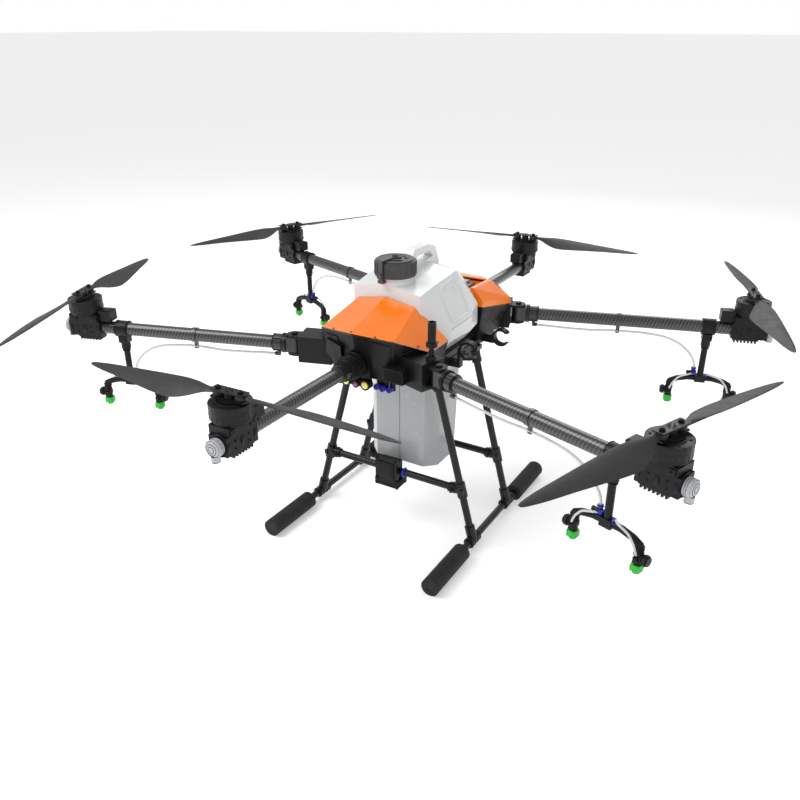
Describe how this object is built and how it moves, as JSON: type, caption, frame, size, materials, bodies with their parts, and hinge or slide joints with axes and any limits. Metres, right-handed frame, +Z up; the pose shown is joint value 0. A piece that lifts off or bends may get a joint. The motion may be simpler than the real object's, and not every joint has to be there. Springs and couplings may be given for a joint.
{
  "type": "agricultural_spray_drone",
  "caption": "Folding multirotor crop-spraying drone with orange hoods, lift-out white tank, folding carbon arms and blades, drop nozzles and skid landing gear",
  "frame": {"origin": "centre of the object's footprint on the ground, under the pads", "axes": "+X to the object's side and its longest extent, -Y the front with camera and radar, +Z up"},
  "size_m": [1.8408, 1.6072, 0.779],
  "materials": {
    "hood_orange": "gloss",
    "tank_white": "gloss",
    "cap_grey": "satin",
    "frame_black": "satin",
    "carbon": "twill weave",
    "blade_grey": "satin",
    "motor_black": "satin",
    "gear_black": "satin",
    "hose_clear": "clear",
    "nozzle_green": "gloss",
    "battery_grey": "satin",
    "foam_black": "foam",
    "module_black": "satin"
  },
  "bodies": {
    "root": {"front_pod": "frame_black", "rear_pod": "frame_black", "front_hood": "hood_orange", "rear_hood": "hood_orange", "side_rails": "frame_black", "landing_legs": "gear_black", "skid_tubes": "gear_black", "foam_pads": "foam_black", "radar": "module_black", "camera_light": "module_black", "antenna": "module_black", "pumps": "module_black", "electronics": "module_black", "arm_1": "carbon", "arm_4": "carbon", "motor_mount_1": "frame_black", "motor_mount_4": "frame_black"},
    "side_arm_2": {"arm_2": "carbon", "motor_mount_2": "frame_black", "boom_2": "frame_black", "nozzle_caps_2": "nozzle_green", "hose_2": "hose_clear"},
    "side_arm_3": {"arm_3": "carbon", "motor_mount_3": "frame_black", "boom_3": "frame_black", "nozzle_caps_3": "nozzle_green", "hose_3": "hose_clear"},
    "side_arm_5": {"arm_5": "carbon", "motor_mount_5": "frame_black", "boom_5": "frame_black", "nozzle_caps_5": "nozzle_green", "hose_5": "hose_clear"},
    "side_arm_6": {"arm_6": "carbon", "motor_mount_6": "frame_black", "boom_6": "frame_black", "nozzle_caps_6": "nozzle_green", "hose_6": "hose_clear"},
    "rotor_1": {"rotor_1": "motor_black"},
    "blade_1a": {"blade_1a": "blade_grey"},
    "blade_1b": {"blade_1b": "blade_grey"},
    "rotor_2": {"rotor_2": "motor_black"},
    "blade_2a": {"blade_2a": "blade_grey"},
    "blade_2b": {"blade_2b": "blade_grey"},
    "rotor_3": {"rotor_3": "motor_black"},
    "blade_3a": {"blade_3a": "blade_grey"},
    "blade_3b": {"blade_3b": "blade_grey"},
    "rotor_4": {"rotor_4": "motor_black"},
    "blade_4a": {"blade_4a": "blade_grey"},
    "blade_4b": {"blade_4b": "blade_grey"},
    "rotor_5": {"rotor_5": "motor_black"},
    "blade_5a": {"blade_5a": "blade_grey"},
    "blade_5b": {"blade_5b": "blade_grey"},
    "rotor_6": {"rotor_6": "motor_black"},
    "blade_6a": {"blade_6a": "blade_grey"},
    "blade_6b": {"blade_6b": "blade_grey"},
    "tank": {"tank": "tank_white", "tank_handle": "tank_white", "cap_strap": "cap_grey"},
    "cap": {"tank_cap": "cap_grey"},
    "battery": {"battery": "battery_grey"}
  },
  "joints": [
    {"name": "arm_fold_2", "type": "hinge", "parent": "root", "child": "side_arm_2", "pos_m": [0.21127, -0.26516, 0.552], "axis": [0, 0, 1], "range_deg": [0, 75]},
    {"name": "arm_fold_3", "type": "hinge", "parent": "root", "child": "side_arm_3", "pos_m": [0.18653, 0.25718, 0.552], "axis": [0, 0, 1], "range_deg": [-75, 0]},
    {"name": "arm_fold_5", "type": "hinge", "parent": "root", "child": "side_arm_5", "pos_m": [-0.18653, 0.25718, 0.552], "axis": [0, 0, 1], "range_deg": [0, 75]},
    {"name": "arm_fold_6", "type": "hinge", "parent": "root", "child": "side_arm_6", "pos_m": [-0.21127, -0.26516, 0.552], "axis": [0, 0, 1], "range_deg": [-75, 0]},
    {"name": "rotor_spin_1", "type": "hinge", "parent": "root", "child": "rotor_1", "pos_m": [0, -0.738, 0.646], "axis": [0, 0, 1], "continuous": true},
    {"name": "blade_fold_1a", "type": "hinge", "parent": "rotor_1", "child": "blade_1a", "pos_m": [0.02798, -0.73702, 0.646], "axis": [0, 0, 1], "range_deg": [0, 75]},
    {"name": "blade_fold_1b", "type": "hinge", "parent": "rotor_1", "child": "blade_1b", "pos_m": [-0.02798, -0.73898, 0.646], "axis": [0, 0, 1], "range_deg": [-75, 0]},
    {"name": "rotor_spin_2", "type": "hinge", "parent": "side_arm_2", "child": "rotor_2", "pos_m": [0.778, -0.448, 0.646], "axis": [0, 0, 1], "continuous": true},
    {"name": "blade_fold_2a", "type": "hinge", "parent": "rotor_2", "child": "blade_2a", "pos_m": [0.7884, -0.422, 0.646], "axis": [0, 0, 1], "range_deg": [-75, 0]},
    {"name": "blade_fold_2b", "type": "hinge", "parent": "rotor_2", "child": "blade_2b", "pos_m": [0.7676, -0.474, 0.646], "axis": [0, 0, 1], "range_deg": [0, 75]},
    {"name": "rotor_spin_3", "type": "hinge", "parent": "side_arm_3", "child": "rotor_3", "pos_m": [0.778, 0.448, 0.646], "axis": [0, 0, 1], "continuous": true},
    {"name": "blade_fold_3a", "type": "hinge", "parent": "rotor_3", "child": "blade_3a", "pos_m": [0.7676, 0.474, 0.646], "axis": [0, 0, 1], "range_deg": [0, 75]},
    {"name": "blade_fold_3b", "type": "hinge", "parent": "rotor_3", "child": "blade_3b", "pos_m": [0.7884, 0.422, 0.646], "axis": [0, 0, 1], "range_deg": [-75, 0]},
    {"name": "rotor_spin_4", "type": "hinge", "parent": "root", "child": "rotor_4", "pos_m": [0, 0.738, 0.646], "axis": [0, 0, 1], "continuous": true},
    {"name": "blade_fold_4a", "type": "hinge", "parent": "rotor_4", "child": "blade_4a", "pos_m": [-0.02798, 0.73702, 0.646], "axis": [0, 0, 1], "range_deg": [0, 75]},
    {"name": "blade_fold_4b", "type": "hinge", "parent": "rotor_4", "child": "blade_4b", "pos_m": [0.02798, 0.73898, 0.646], "axis": [0, 0, 1], "range_deg": [-75, 0]},
    {"name": "rotor_spin_5", "type": "hinge", "parent": "side_arm_5", "child": "rotor_5", "pos_m": [-0.778, 0.448, 0.646], "axis": [0, 0, 1], "continuous": true},
    {"name": "blade_fold_5a", "type": "hinge", "parent": "rotor_5", "child": "blade_5a", "pos_m": [-0.7676, 0.474, 0.646], "axis": [0, 0, 1], "range_deg": [0, 75]},
    {"name": "blade_fold_5b", "type": "hinge", "parent": "rotor_5", "child": "blade_5b", "pos_m": [-0.7884, 0.422, 0.646], "axis": [0, 0, 1], "range_deg": [-75, 0]},
    {"name": "rotor_spin_6", "type": "hinge", "parent": "side_arm_6", "child": "rotor_6", "pos_m": [-0.778, -0.448, 0.646], "axis": [0, 0, 1], "continuous": true},
    {"name": "blade_fold_6a", "type": "hinge", "parent": "rotor_6", "child": "blade_6a", "pos_m": [-0.7884, -0.422, 0.646], "axis": [0, 0, 1], "range_deg": [-75, 0]},
    {"name": "blade_fold_6b", "type": "hinge", "parent": "rotor_6", "child": "blade_6b", "pos_m": [-0.7676, -0.474, 0.646], "axis": [0, 0, 1], "range_deg": [0, 75]},
    {"name": "tank_lift", "type": "slide", "parent": "root", "child": "tank", "axis": [0, 0, 1], "range_m": [0, 0.35]},
    {"name": "cap_turn", "type": "hinge", "parent": "tank", "child": "cap", "pos_m": [0, -0.112, 0.75], "axis": [0, 0, 1], "range_deg": [0, 90]},
    {"name": "battery_lift", "type": "slide", "parent": "root", "child": "battery", "axis": [0, 0, 1], "range_m": [0, 0.15]}
  ]
}
